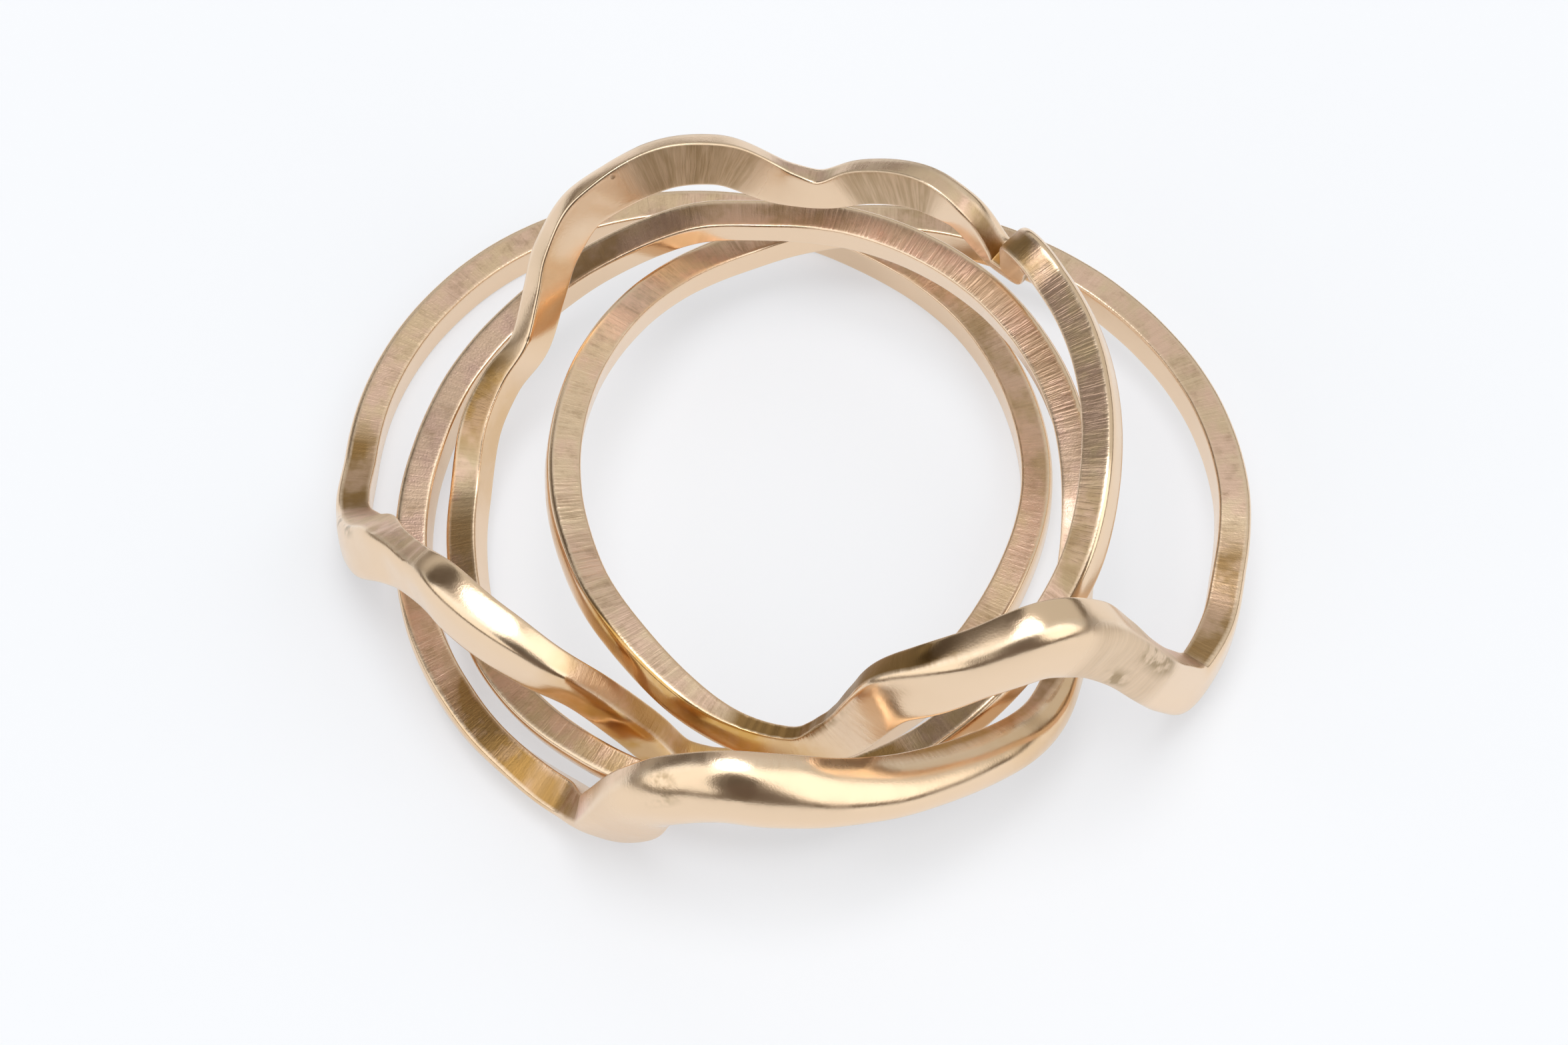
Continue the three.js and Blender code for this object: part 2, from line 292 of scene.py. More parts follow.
def eased(values):
    """Values round the hoop, each averaged with its neighbours so that no bend is sudden."""
    weights = np.hanning(2 * EASE + 3)[1:-1]
    wrapped = np.concatenate([values[-EASE:], values, values[:EASE]])
    return np.convolve(wrapped, weights / weights.sum(), mode="valid")


def band_curves(band, places):
    """Every column of a band's table, at many places round it."""
    rows = np.array(band["rows"], float)
    closing = rows[:1].copy()
    closing[0, 0] += 360
    rows = np.vstack([rows, closing])
    wrapped = (places - rows[0, 0]) % 360 + rows[0, 0]
    return {
        column: eased(through_rows(rows[:, 0], rows[:, i], wrapped))
        for i, column in enumerate(COLUMNS)
        if column != "turn"
    }


places = np.arange(STATIONS) * 360 / STATIONS
crest = band_curves(BANDS["right_band"], places)["up"].max()
print(f"the right band's dome rises {crest:.1f} mm above its hoop")

# %% [markdown]
# ## The section
#
# Across the strip the inner side is flat, to be smooth on a finger. The top and bottom
# are filed flat, and the outer side is rounded: hardly at all on the plain back, and
# nearly to a half circle on a dome. Every section has the same number of points, so that
# each line of points runs all the way round the band.
#
# The rounding is a superellipse. Its power is near 2 for a true ellipse and higher for a
# squarer corner, so one number leads from a strip to a dome.

# %% The section
OUTER_POINTS = 17  # from the outermost line up to the top face
FACE_POINTS = 10  # across the top face
EDGE_POINTS = 5  # round the worn inner edge
INNER_POINTS = 12  # down the inner side
SECTION = 2 * (OUTER_POINTS + FACE_POINTS + EDGE_POINTS) - 1 + INNER_POINTS
DOME_POWER = 1.9  # of the superellipse where the outer side is a full round
POWER_GAIN = 2.2  # how much higher it is where the outer side is square


def section_points(thick, wide, roundness, crown):
    """Points round the sections, outwards and upwards from their middles, one row each."""
    sizes = (thick, wide, roundness, crown)
    thick, wide, roundness, crown = (np.asarray(v)[:, None] for v in sizes)
    half = wide / 2
    nose = np.clip(roundness * thick, EDGE_BREAK, thick - 2 * EDGE_BREAK)
    squareness = 2 / (DOME_POWER + POWER_GAIN * (1 - roundness))
    swing = np.linspace(0, np.pi / 2, OUTER_POINTS, endpoint=False)[None]
    outer = thick / 2 - nose + nose * np.cos(swing) ** squareness
    outer_up = half * np.sin(swing) ** squareness
    share = np.linspace(0, 1, FACE_POINTS, endpoint=False)[None]
    face = (thick / 2 - nose) * (1 - share) + (EDGE_BREAK - thick / 2) * share
    face_up = np.repeat(half, FACE_POINTS, axis=1)
    turn = np.linspace(0, np.pi / 2, EDGE_POINTS, endpoint=False)[None]
    edge = EDGE_BREAK - thick / 2 - EDGE_BREAK * np.sin(turn)
    edge_up = half - EDGE_BREAK + EDGE_BREAK * np.cos(turn)
    inner = np.repeat(-thick / 2, INNER_POINTS, axis=1)
    inner_up = (half - EDGE_BREAK) * np.linspace(1, -1, INNER_POINTS)[None]
    across = np.hstack([outer, face, edge])
    upward = np.hstack([outer_up, face_up, edge_up])
    # a crowned top falls away from the inner side towards the outer side
    fall = 1 - crown * ((across + thick / 2) / thick) ** 2
    # the lower half is the upper half turned over, in the opposite order
    r = np.hstack([across, inner, across[:, :0:-1]])
    z = np.hstack([upward * fall, inner_up, -upward[:, :0:-1]])
    return r, z


r, z = section_points([1.0], [1.0], [0.3], [0.0])
print("points round a section:", r.shape[1], "as planned:", SECTION)

# %% [markdown]
# ## Filed and worn lines
#
# Two numbers go with every line of points round a section: how far it belongs to a filed
# face, and how far to a worn edge, where the material also paints a highlight. They become
# attributes of the mesh, and the material reads them. An edge keeps a little of the filing
# beside it, or it would look drawn on.

# %% Kinds of line
EDGE_SHARE = 0.35  # how much an edge keeps of the filing beside it


def face_kinds():
    """How filed and how worn each line of points is, round a section."""
    upper_filed = [0.0] * (OUTER_POINTS - 2) + [EDGE_SHARE, 0.8] + [1.0] * FACE_POINTS
    upper_edge = [0.0] * (OUTER_POINTS - 3) + [0.5, 1.0, 0.8] + [0.0] * FACE_POINTS
    upper_filed += [0.8, 0.5, EDGE_SHARE, 0.2, 0.1]
    upper_edge += [0.3, 0.8, 1.0, 0.8, 0.4]
    filed = upper_filed + [0.0] * INNER_POINTS + upper_filed[1:][::-1]
    edge = upper_edge + [0.0] * INNER_POINTS + upper_edge[1:][::-1]
    return np.array(filed), np.array(edge)


filed_line, edge_line = face_kinds()
print(len(filed_line), "lines,", int((filed_line == 1).sum()), "of them fully filed")

# %% [markdown]
# ## Places along a band
#
# No two bands were filed alike, so each finish has its own table of places. A row of such
# a table gives a band, two angles round its hoop and a strength. Painting weights by hand
# would do the same for one model, but a table can be read and changed.

# %% Read a table of places
def within(places, start, end, soft=3.0):
    """1 between two angles and 0 outside them, with soft ends, in degrees."""
    middle = (start + end) / 2
    off = np.abs((places - middle + 180) % 360 - 180)
    return np.clip(((end - start) / 2 - off) / soft + 0.5, 0, 1)


def strength_at(table, name, soft=3.0):
    """The strength that a table gives one band, at every station."""
    found = np.zeros(len(places))
    for band, start, end, strength in table:
        if band == name:
            found = np.maximum(found, strength * within(places, start, end, soft))
    return found


print("5 degrees past a soft end:", within(np.array([50.0]), 0, 45, 20.0)[0], "is left")

# %% [markdown]
# ## What the file has cut
#
# On a knot the file has tipped the flat top towards the outer side, which gives it a
# crown. Where it jumped, it left a row of small dents that jewellers call chatter.

# %% Crowns and chatter
# how far the top falls away towards the outer side, as a share of its half width
CROWNED = (
    # band, from, to, share
    ("bottom_band", -148, -112, 0.30),
    ("bottom_band", -112, -86, 0.45),
    ("right_band", -98, -60, 0.24),
    ("middle_band", -110, -45, 0.16),
    ("top_band", 40, 108, 0.10),
    ("top_band", 108, 152, 0.25),
)
CROWN_SOFT = 10.0  # degrees over which a crown begins and ends

# pitch and depth are millimetres
CHATTER = (
    # band, from, to, pitch, depth
    ("right_band", -118, -97, 0.34, 0.03),
    ("bottom_band", -152, -141, 0.30, 0.03),
    ("middle_band", -126, -112, 0.40, 0.015),
)
print(len(CROWNED), "crowned places and", len(CHATTER), "with chatter")

# %% [markdown]
# ## Polish and scratches
#
# The knots were polished over the top as well, and a strength of 1 there is a mirror.
# Elsewhere the top and bottom keep the lines of the file, coarse in some places. A few of
# the inner and outer sides were ground, and are scratched.

# %% Polish and scratches
# how far the top and bottom are polished as well
POLISHED_TOPS = (
    # band, from, to, strength
    ("bottom_band", -141, -113, 1.0),
    ("right_band", -89, -56, 1.0),
    ("middle_band", -108, -60, 0.7),
    ("top_band", 56, 76, 0.6),
    ("top_band", 90, 152, 0.9),
)
# strength of the coarse marks that a file leaves across the top and bottom
COARSE = (
    # band, from, to, strength
    ("right_band", -176, -122, 1.0),
    ("right_band", 60, 110, 0.5),
    ("top_band", -25, 34, 0.9),
    ("middle_band", 10, 50, 0.8),
    ("middle_band", 50, 75, 0.4),
    ("bottom_band", -100, -60, 0.6),
)
# strength of the scratches on an inner or outer side
GROUND = (
    # band, from, to, strength
    ("middle_band", -120, -104, 1.0),
    ("right_band", -64, -46, 0.9),
    ("bottom_band", -165, -150, 0.2),
    ("right_band", -113, -98, 0.6),
    ("top_band", 56, 75, 0.9),
    ("top_band", 90, 110, 1.0),
)
print(len(POLISHED_TOPS), "polished,", len(COARSE), "coarse and", len(GROUND), "ground places")

# %% [markdown]
# ## Painted shade and reflected gold
#
# On the filed tops and bottoms a dark gold is painted where the bands lie in shade and
# mirror dark things round them: painted shade. In corners where the bands mirror one
# another a deep clear gold is painted, a painted reflection, on the sides more than on
# the tops.

# %% Golden places
# strength of the painted shade, a dark gold, on the filed top and bottom
PAINTED_SHADE = (
    # band, from, to, strength
    ("bottom_band", -190, -166, 1.1),
    ("bottom_band", -113, -84, 0.25),
    ("bottom_band", -50, -30, 0.7),
    ("bottom_band", -5, 48, 0.5),
    ("middle_band", -172, -152, 0.5),
    ("middle_band", -152, -128, 1.5),
    ("middle_band", -128, -114, 1.0),
    ("middle_band", -66, -30, 0.8),
    ("middle_band", 12, 48, 0.3),
    ("middle_band", 72, 108, 0.7),
    ("middle_band", 108, 130, 0.9),
    ("right_band", -120, -84, 1.9),
    ("right_band", -34, -6, 1.0),
    ("right_band", 12, 50, 0.15),
    ("right_band", 72, 90, 0.5),
    ("right_band", 112, 132, 0.25),
    ("top_band", 147, 162, 1.1),
    ("top_band", 174, 190, 0.9),
    ("top_band", 190, 245, 0.4),
    ("top_band", -128, -108, 0.8),
    ("top_band", -92, -70, 2.0),
    ("top_band", -70, -48, 0.7),
    ("top_band", -28, -10, 0.6),
    ("top_band", -10, 32, 0.35),
    ("top_band", 32, 52, 1.0),
)
# strength of the painted reflection, a clear gold, on the outer and inner sides
REFLECTED_SIDES = (
    # band, from, to, strength
    ("bottom_band", -113, -76, 1.0),
    ("bottom_band", -44, -30, 0.5),
    ("right_band", -150, -104, 1.1),
    ("middle_band", -150, -122, 0.4),
    ("middle_band", -50, -30, 0.3),
    ("top_band", 126, 142, 0.35),
    ("top_band", 150, 172, 0.4),
)
# and of the painted reflection on the top and bottom
REFLECTED_TOPS = (
    # band, from, to, strength
    ("bottom_band", -113, -76, 0.7),
    ("middle_band", -136, -118, 0.5),
    ("middle_band", -64, -40, 0.5),
    ("top_band", 147, 162, 0.4),
    ("top_band", 40, 50, 0.5),
)
# the skin named below is the painted shade and the painted reflection of gold
PAINTED_GOLD_SOFT = 7.0  # degrees over which the skin begins and ends
print(len(PAINTED_SHADE), "dark golden places,", len(REFLECTED_SIDES) + len(REFLECTED_TOPS), "clear ones")

# %% [markdown]
# ## Painted dark reflections
#
# Some scraped sides are painted dark in streaks, a painted dark reflection. A few polished
# places get dark patches, painted dark reflections as well. A patch covers only part of a
# side, so its row also says between which lines of the section it lies, counted upwards from
# the outermost one.

# %% Dark places
# how dark a scraped side is painted, as a painted dark reflection
DARK_REFLECTED_SIDES = (
    # band, from, to, strength
    ("top_band", 57, 75, 0.9),
    ("top_band", 91, 108, 1.0),
    ("right_band", -64, -46, 0.35),
)
# how dense the painted dark patches are, each a painted dark reflection
PAINTED_PATCHES = (
    # band, from, to, strength, low, high
    ("bottom_band", -167, -157, 1.0, 4, 17),
    ("right_band", -54, -47, 1.4, 0, 14),
    ("right_band", -57, -53, 1.4, -10, 0),
    ("right_band", -108, -99, 0.9, 4, 17),
    ("middle_band", -99, -95, 1.0, 4, 17),
)
# a smear here is a painted dark patch, a painted dark reflection
PATCH_RISE = 4  # lines over which a smear begins
PATCH_FALL = 3  # and ends


def smears_on(name, ring, line):
    """How far each point of a band lies under a painted dark patch."""
    upwards = np.where(line > SECTION // 2, line - SECTION, line)
    smeared = np.zeros(len(line))
    for band, start, end, strength, low, high in PAINTED_PATCHES:
        if band == name:
            reach = (low, low + PATCH_RISE, high - PATCH_FALL, high)
            across = np.interp(upwards, reach, (0, 1, 1, 0))
            smeared += strength * within(places, start, end)[ring] * across
    return smeared


print(len(DARK_REFLECTED_SIDES), "sooty sides and", len(PAINTED_PATCHES), "smears")

# %% [markdown]
# ## The unevenness of hand work
#
# A hammered and filed band is nowhere quite even. A few slow waves, with chance phases
# and heights, give that. The dice start from a fixed seed, so every run gives the same
# band.

# %% Hand work
WOBBLE = 0.012  # millimetres that a band strays from its curve
SIZE_WOBBLE = 0.006  # share by which it is thicker or wider in places
WOBBLE_COUNTS = (5, 9, 14, 23, 37)  # waves round the hoop


def hand_wobble(places, seed, size):
    """The slow unevenness of hand work, the same each time for the same seed."""
    dice = np.random.default_rng(seed)
    wave = np.zeros(len(places))
    for count in WOBBLE_COUNTS:
        phase = dice.uniform(0, 2 * np.pi)
        wave += np.sin(np.radians(places) * count + phase) * dice.uniform(0.4, 1) / count
    return size * wave * WOBBLE_COUNTS[0]


def chatter_marks(name, places, seed):
    """How deep a jumping file has bitten, round the band."""
    dice = np.random.default_rng(seed)
    marks = np.zeros(len(places))
    for band, start, end, pitch, depth in CHATTER:
        if band == name:
            degrees = math.degrees(pitch / BAND_RADIUS)
            centre = start
            while centre < end:
                width = degrees * dice.uniform(0.25, 0.45)
                off = np.abs((places - centre + 180) % 360 - 180)
                marks += depth * dice.uniform(0.4, 1.2) * np.exp(-((off / width) ** 2))
                centre += degrees * dice.uniform(0.75, 1.35)
    return marks


deepest = chatter_marks("right_band", places, 15).max()
print(f"the file has bitten {deepest:.3f} mm deep at most into the right band")

# %% [markdown]
# ## Setting the sections along a band
#
# Each section stands square to the way the band runs at its place. It leans with the
# table's last column, and the whole band is then tipped to where it lies in the heap.
# Curve objects can carry a section along a path too, but theirs keeps one shape, and this
# one has to change from a strip to a dome on the way.

# %% Place the sections
def unit(vectors):
    """Vectors made one long."""
    return vectors / np.linalg.norm(vectors, axis=-1, keepdims=True)


def lie(points, band):
    """Tips a band's points from its own level frame to where it lies."""
    x, y = band["tip"]
    axis = Vector((x, y, math.sqrt(1 - x * x - y * y)))
    turn = Vector((0, 0, 1)).rotation_difference(axis).to_matrix()
    place = np.array(band["centre"]) + np.array(HOME)
    return points @ np.array(turn).T + place


def bent_points(name, seed):
    """Every point of a band in millimetres, by section and line, and the sections alone."""
    band = BANDS[name]
    curve = band_curves(band, places)
    angle = np.radians(places)
    radius = BAND_RADIUS + curve["out"] + hand_wobble(places, seed, WOBBLE)
    height = curve["up"] + hand_wobble(places, seed + 1, WOBBLE)
    middle = np.stack([radius * np.cos(angle), radius * np.sin(angle), height], axis=1)
    along = unit(np.roll(middle, -1, axis=0) - np.roll(middle, 1, axis=0))
    outward = np.stack([np.cos(angle), np.sin(angle), 0 * angle], axis=1)
    outward = unit(outward - along * (outward * along).sum(1, keepdims=True))
    upward = np.cross(outward, along)
    tip = np.radians(curve["lean"])[:, None]
    leant = outward * np.cos(tip) - upward * np.sin(tip)
    upward = upward * np.cos(tip) + outward * np.sin(tip)
    thick = curve["thick"] * (1 + hand_wobble(places, seed + 2, SIZE_WOBBLE))
    wide = curve["wide"] * (1 + hand_wobble(places, seed + 3, SIZE_WOBBLE))
    crown = strength_at(CROWNED, name, CROWN_SOFT)
    r, z = section_points(thick, wide, curve["round"], crown)
    z = z - np.sign(z) * filed_line * chatter_marks(name, places, seed + 4)[:, None]
    points = middle[:, None] + leant[:, None] * r[:, :, None] + upward[:, None] * z[:, :, None]
    return lie(points, band), r, z


points, r, z = bent_points("bottom_band", 1)
print("points of one band, by section and line:", points.shape[:2])

# %% [markdown]
# ## A sheet to roll up
#
# A band starts as a flat grid: its length will go round the hoop and its breadth round
# the section. Rolling it up gives neat rings of points, and afterwards only its meeting
# edges have to be joined. A torus has such rings too, but its points are harder to name,
# and Spin would need the same section all the way.

# %% The sheet
def flat_sheet(name):
    """A sheet of cells: its length goes round the band, its breadth round the section."""
    bpy.ops.object.select_all(action="DESELECT")
    bpy.ops.mesh.primitive_grid_add(x_subdivisions=STATIONS, y_subdivisions=SECTION, size=1)
    sheet = bpy.context.active_object
    sheet.name = sheet.data.name = name
    return sheet


def ring_and_line(sheet):
    """Which section, and which line of the section, each point of the sheet belongs to."""
    co = np.empty(len(sheet.data.vertices) * 3)
    sheet.data.vertices.foreach_get("co", co)
    x, y, _ = co.reshape(-1, 3).T
    ring = np.rint((x + 0.5) * STATIONS).astype(int) % STATIONS
    line = np.rint((y + 0.5) * SECTION).astype(int) % SECTION
    return ring, line


print("each sheet has", STATIONS, "by", SECTION, "cells")

# %% [markdown]
# ## What each point remembers
#
# File lines have to run across the band however it bends. So every point also keeps where
# it would be on a plain hoop: how far along, as a place on an even circle, and how far
# round the section from the middle of the inner side. The circle has no seam, and the
# second measure is the same on both ways round.

# %% Attributes
def keep(mesh, name, values):
    """Stores one number, or one vector, for each point of a mesh."""
    kind, key = ("FLOAT_VECTOR", "vector") if values.ndim == 2 else ("FLOAT", "value")
    layer = mesh.attributes.new(name, kind, "POINT")
    layer.data.foreach_set(key, values.astype(np.float32).ravel())


def laid_out(r, z, ring, line):
    """Where each point would be on a plain hoop, in millimetres."""
    steps = np.hypot(np.diff(r, axis=1), np.diff(z, axis=1))
    run = np.hstack([np.zeros((STATIONS, 1)), np.cumsum(steps, axis=1)])
    whole = run[:, -1:] + np.hypot(r[:, :1] - r[:, -1:], z[:, :1] - z[:, -1:])
    inner = OUTER_POINTS + FACE_POINTS + EDGE_POINTS + INNER_POINTS // 2
    around = np.abs(run - run[:, inner : inner + 1])
    around = np.minimum(around, whole - around)[ring, line]
    angle = np.radians(places)[ring]
    return np.stack([BAND_RADIUS * np.cos(angle), BAND_RADIUS * np.sin(angle), around], axis=1)


def keep_finish(mesh, name, ring, line):
    """Stores what the tables say about every point."""
    filed = filed_line[line]
    side = 1 - filed
    keep(mesh, "filed", filed * (1 - strength_at(POLISHED_TOPS, name))[ring])
    # painted shade, a dark gold on the filed top and bottom
    keep(mesh, "amber", strength_at(PAINTED_SHADE, name, PAINTED_GOLD_SOFT)[ring] * filed)
    # painted reflection of the bands in one another, in clear gold
    gilt = strength_at(REFLECTED_TOPS, name, PAINTED_GOLD_SOFT)[ring] * filed
    gilt += strength_at(REFLECTED_SIDES, name, PAINTED_GOLD_SOFT)[ring] * side
    keep(mesh, "gilt", gilt)
    keep(mesh, "edge", edge_line[line])
    keep(mesh, "coarse", strength_at(COARSE, name)[ring] * filed)
    keep(mesh, "ground", strength_at(GROUND, name)[ring] * side)
    # painted dark reflections, on darkened sides and in dark patches
    keep(mesh, "sooty", strength_at(DARK_REFLECTED_SIDES, name)[ring] * side)
    keep(mesh, "smeared", smears_on(name, ring, line))


around = laid_out(r, z, np.arange(1), np.zeros(1, int))[0, 2]
print(f"the outermost line is {around:.2f} mm from the middle of the inner side")

# %% [markdown]
# ## Rolling up the bands
#
# Every point of the sheet goes to its place at once, and the two pairs of edges that meet
# are merged. The normals are made to point outwards, because the rolling may have turned
# the sheet over.

# %% The four bands
WELD = 0.0005  # millimetres between points that are one


def make_band(name, seed):
    """One finished band of metal, without its material."""
    hoop = flat_sheet(name + "_metal")
    ring, line = ring_and_line(hoop)
    points, r, z = bent_points(name, seed)
    placed = points[ring, line] * MM
    hoop.data.vertices.foreach_set("co", placed.astype(np.float32).ravel())
    keep(hoop.data, "laid", laid_out(r, z, ring, line))
    keep_finish(hoop.data, name, ring, line)
    hoop.data.update()
    bpy.ops.object.mode_set(mode="EDIT")
    bpy.ops.mesh.select_all(action="SELECT")
    bpy.ops.mesh.remove_doubles(threshold=WELD * MM)
    bpy.ops.mesh.normals_make_consistent(inside=False)
    bpy.ops.object.mode_set(mode="OBJECT")
    bpy.ops.object.shade_smooth()
    print(hoop.name, len(hoop.data.polygons), "faces")
    return hoop


bands = {name: make_band(name, 10 * i + 1) for i, name in enumerate(BANDS)}

# %% [markdown]
# ## Sums with sockets
#
# A node tree is easier to read as sums than as boxes and wires. `Value` wraps a socket, so
# that `1 - mask` adds a Math node, and `Recipe.add` makes any other node.

# %% Value
class Value:
    """A socket that takes part in ordinary sums."""

    def __init__(self, recipe, socket):
        self.recipe = recipe
        self.socket = socket

    def maths(self, operation, first, second):
        return self.recipe.add("Math", {"operation": operation}, {0: first, 1: second})

    def __add__(self, other):
        return self.maths("ADD", self, other)

    def __sub__(self, other):
        return self.maths("SUBTRACT", self, other)

    def __rsub__(self, other):
        return self.maths("SUBTRACT", other, self)

    def __mul__(self, other):
        return self.maths("MULTIPLY", self, other)

    __radd__ = __add__
    __rmul__ = __mul__


print("sums with sockets are ready")

# %% [markdown]
# ## A recipe of nodes
#
# The few kinds of node that the metal needs again and again get a short name each.

# %% Recipe
class Recipe:
    """One node tree, built up a node at a time."""

    def __init__(self, tree):
        self.tree = tree
        tree.nodes.clear()

    def add(self, kind, settings=None, inputs=None, output=0):
        """A node of any kind: its settings first, then the values or links of its sockets."""
        node = self.tree.nodes.new("ShaderNode" + kind)
        for name, value in (settings or {}).items():
            setattr(node, name, value)
        for name, value in (inputs or {}).items():
            if isinstance(value, Value):
                self.tree.links.new(value.socket, node.inputs[name])
            else:
                node.inputs[name].default_value = value
        return Value(self, node.outputs[output] if node.outputs else None)

    def attribute(self, name, output="Fac"):
        return self.add("Attribute", {"attribute_name": name}, output=output)

    def stretched(self, vector, factors):
        return self.add("VectorMath", {"operation": "MULTIPLY"}, {0: vector, 1: factors})

    def noise(self, vector, scale, detail=2.0, roughness=0.5):
        sockets = {"Vector": vector, "Scale": scale, "Detail": detail, "Roughness": roughness}
        return self.add("TexNoise", None, sockets)

    def between(self, value, low, high):
        """0 below low, 1 above high, and smooth in between."""
        sockets = {"Value": value, "From Min": low, "From Max": high}
        return self.add("MapRange", {"interpolation_type": "SMOOTHSTEP"}, sockets)

    def mix(self, share, first, second):
        """A colour between two colours."""
        return self.add("Mix", {"data_type": "RGBA"}, {0: share, 6: first, 7: second}, 2)


print("ready to write materials")

# %% [markdown]
# ## Rose gold
#
# Rose gold is gold with copper in it: a full metal with a warm pink colour, which turns
# orange where two bands mirror each other. The inner and outer sides are polished. The
# top and bottom keep the marks of the file and look browner and duller, pinker in one
# place and greener in the next. Its colours are kept together here, because they only
# make sense beside one another.

# %% The colours
POLISHED = (0.85, 0.645, 0.45, 1)
# worn edges, lighter still with a painted highlight
WORN_EDGE_HIGHLIGHT = (0.90, 0.72, 0.54, 1)  # edges that hands have rubbed bright
# painted shade in the file grooves
GROOVE_SHADE = (0.50, 0.36, 0.25, 1)
# the colour of the painted dark reflections, on darkened sides and in dark patches
DARK_REFLECTION = (0.42, 0.30, 0.17, 1)
GROUND_TONE = (0.82, 0.64, 0.47, 1)
# the dark gold of the painted shade
SHADE_GOLD = (0.31, 0.185, 0.07, 1)
# the clear orange gold of the painted reflection of one band in another
REFLECTION_GOLD = (0.66, 0.38, 0.11, 1)
PIT = (0.22, 0.15, 0.09, 1)
PATINA = (0.33, 0.22, 0.12, 1)
FILED_TINTS = {
    # a pinker and a greener state of the same filed metal
    "bottom_band": ((0.88, 0.63, 0.49, 1), (0.78, 0.60, 0.40, 1)),
    "right_band": ((0.90, 0.65, 0.51, 1), (0.82, 0.65, 0.46, 1)),
    "middle_band": ((0.88, 0.62, 0.50, 1), (0.78, 0.58, 0.43, 1)),
    "top_band": ((0.80, 0.57, 0.45, 1), (0.70, 0.56, 0.37, 1)),
}
print("filed tints for", len(FILED_TINTS), "bands")

# %% [markdown]
# ## Marks in the metal
#
# All marks come from noise. File lines are noise that has been stretched across the band,
# on the places that each point remembers. Clouds, grain, dints and pits are noise on the
# object's own coordinates, from a few to the centimetre down to sixteen to the
# millimetre. Scratches drawn on a texture would blur close up, and noise never does.

# %% The marks
MASKS = ("filed", "edge", "coarse", "ground", "sooty", "smeared", "amber", "gilt")


def marks_of(recipe):
    """The stored masks and every pattern of the metal, under plain names."""
    mark = SimpleNamespace(**{name: recipe.attribute(name) for name in MASKS})
    laid = recipe.attribute("laid", "Vector")  # in millimetres
    place = recipe.add("TexCoord", output="Object")  # in metres

    fine = recipe.noise(recipe.stretched(laid, (1, 1, 0.08)), 11.0, 2.0, 0.6)
    broad = recipe.noise(recipe.stretched(laid, (1, 1, 0.14)), 4.5, 2.0, 0.6)
    fine = recipe.between(fine, 0.34, 0.66)
    broad = recipe.between(broad, 0.36, 0.66)
    mark.lines = fine * 0.6 + broad * 0.4
    mark.streaks = recipe.noise(recipe.stretched(laid, (0.15, 0.15, 1)), 16.0, 2.0, 0.6)

    mark.grain = recipe.noise(place, 16 / MM, 2.0, 0.6)
    mark.dints = recipe.noise(place, 4.5 / MM, 2.0, 0.5)
    mark.ripple = recipe.noise(place, 0.42 / MM, 1.0, 0.4)
    mark.patina = recipe.between(recipe.noise(place, 1.5 / MM, 4.0, 0.7), 0.46, 0.68)
    mark.smears = recipe.between(recipe.noise(place, 1.3 / MM, 3.0, 0.6), 0.42, 0.60)
    # the shapes of the painted dark patches
    mark.cloud = recipe.between(recipe.noise(place, 0.8 / MM, 3.0, 0.6), 0.38, 0.62)
    scatter = recipe.add("TexVoronoi", None, {"Vector": place, "Scale": 0.48 / MM})
    mark.pits = (1 - recipe.between(scatter, 0.02, 0.055)) * (1 - mark.filed)
    return mark


print("masks that the metal reads:", ", ".join(MASKS))

# %% [markdown]
# ## Colour and relief
#
# The colours are laid over one another: polish and filing with painted shade in the file
# grooves first, then painted shade and painted reflections of gold, then scratches and
# painted dark reflections, and last the worn edges with a painted highlight. The relief only
# feeds a Bump node, because these marks are a hundredth of a millimetre deep, and as real
# geometry they would need millions of faces.

# %% Colour and relief
RELIEF = 0.012  # millimetres from the floor of the marks to their tops


def colour_of(recipe, name, mark):
    """The colour of the metal, one layer over the other."""
    pink, green = FILED_TINTS[name]
    side = recipe.mix(mark.cloud, pink, green)
    # file grooves painted darker: painted shade in the grooves
    side = recipe.mix(mark.lines * (0.25 + mark.coarse * 0.35), side, GROOVE_SHADE)
    side = recipe.mix(mark.patina * (0.12 + mark.lines * 0.35), side, PATINA)
    colour = recipe.mix(mark.filed, POLISHED, side)
    # painted shade: the filed faces darkened to a dark gold
    colour = recipe.mix(mark.amber * (0.5 + mark.cloud * 0.4), colour, SHADE_GOLD)
    # painted reflection of the bands in one another, in clear gold
    colour = recipe.mix(mark.gilt * (0.6 + mark.cloud * 0.4), colour, REFLECTION_GOLD)
    colour = recipe.mix(mark.ground * 0.6, colour, GROUND_TONE)
    # painted dark reflection in streaks on some scraped sides
    colour = recipe.mix(mark.sooty * (0.45 + mark.lines * 0.5), colour, DARK_REFLECTION)
    # painted dark reflection in patches
    colour = recipe.mix(mark.smeared * mark.smears, colour, DARK_REFLECTION)
    # worn edges with a painted highlight that sparkles along the file lines
    colour = recipe.mix(mark.edge * (0.4 + mark.lines * 0.5), colour, WORN_EDGE_HIGHLIGHT)
    return recipe.mix(mark.pits * 0.5, colour, PIT)


def relief_of(recipe, mark):
    """The small marks that only tilt the light."""
    height = mark.lines * (mark.filed * (0.35 + mark.coarse * 0.6) + mark.ground * 0.6)
    height = height + mark.grain * (mark.filed * 0.3 + 0.16)
    height = height + mark.streaks * ((1 - mark.filed) * 0.05)
    height = height + mark.ripple * 0.8 + mark.dints * 0.12 - mark.pits * 0.6
    sockets = {"Strength": 1.0, "Distance": RELIEF * MM, "Height": height}
    return recipe.add("Bump", None, sockets)


print(f"relief of {RELIEF} mm")

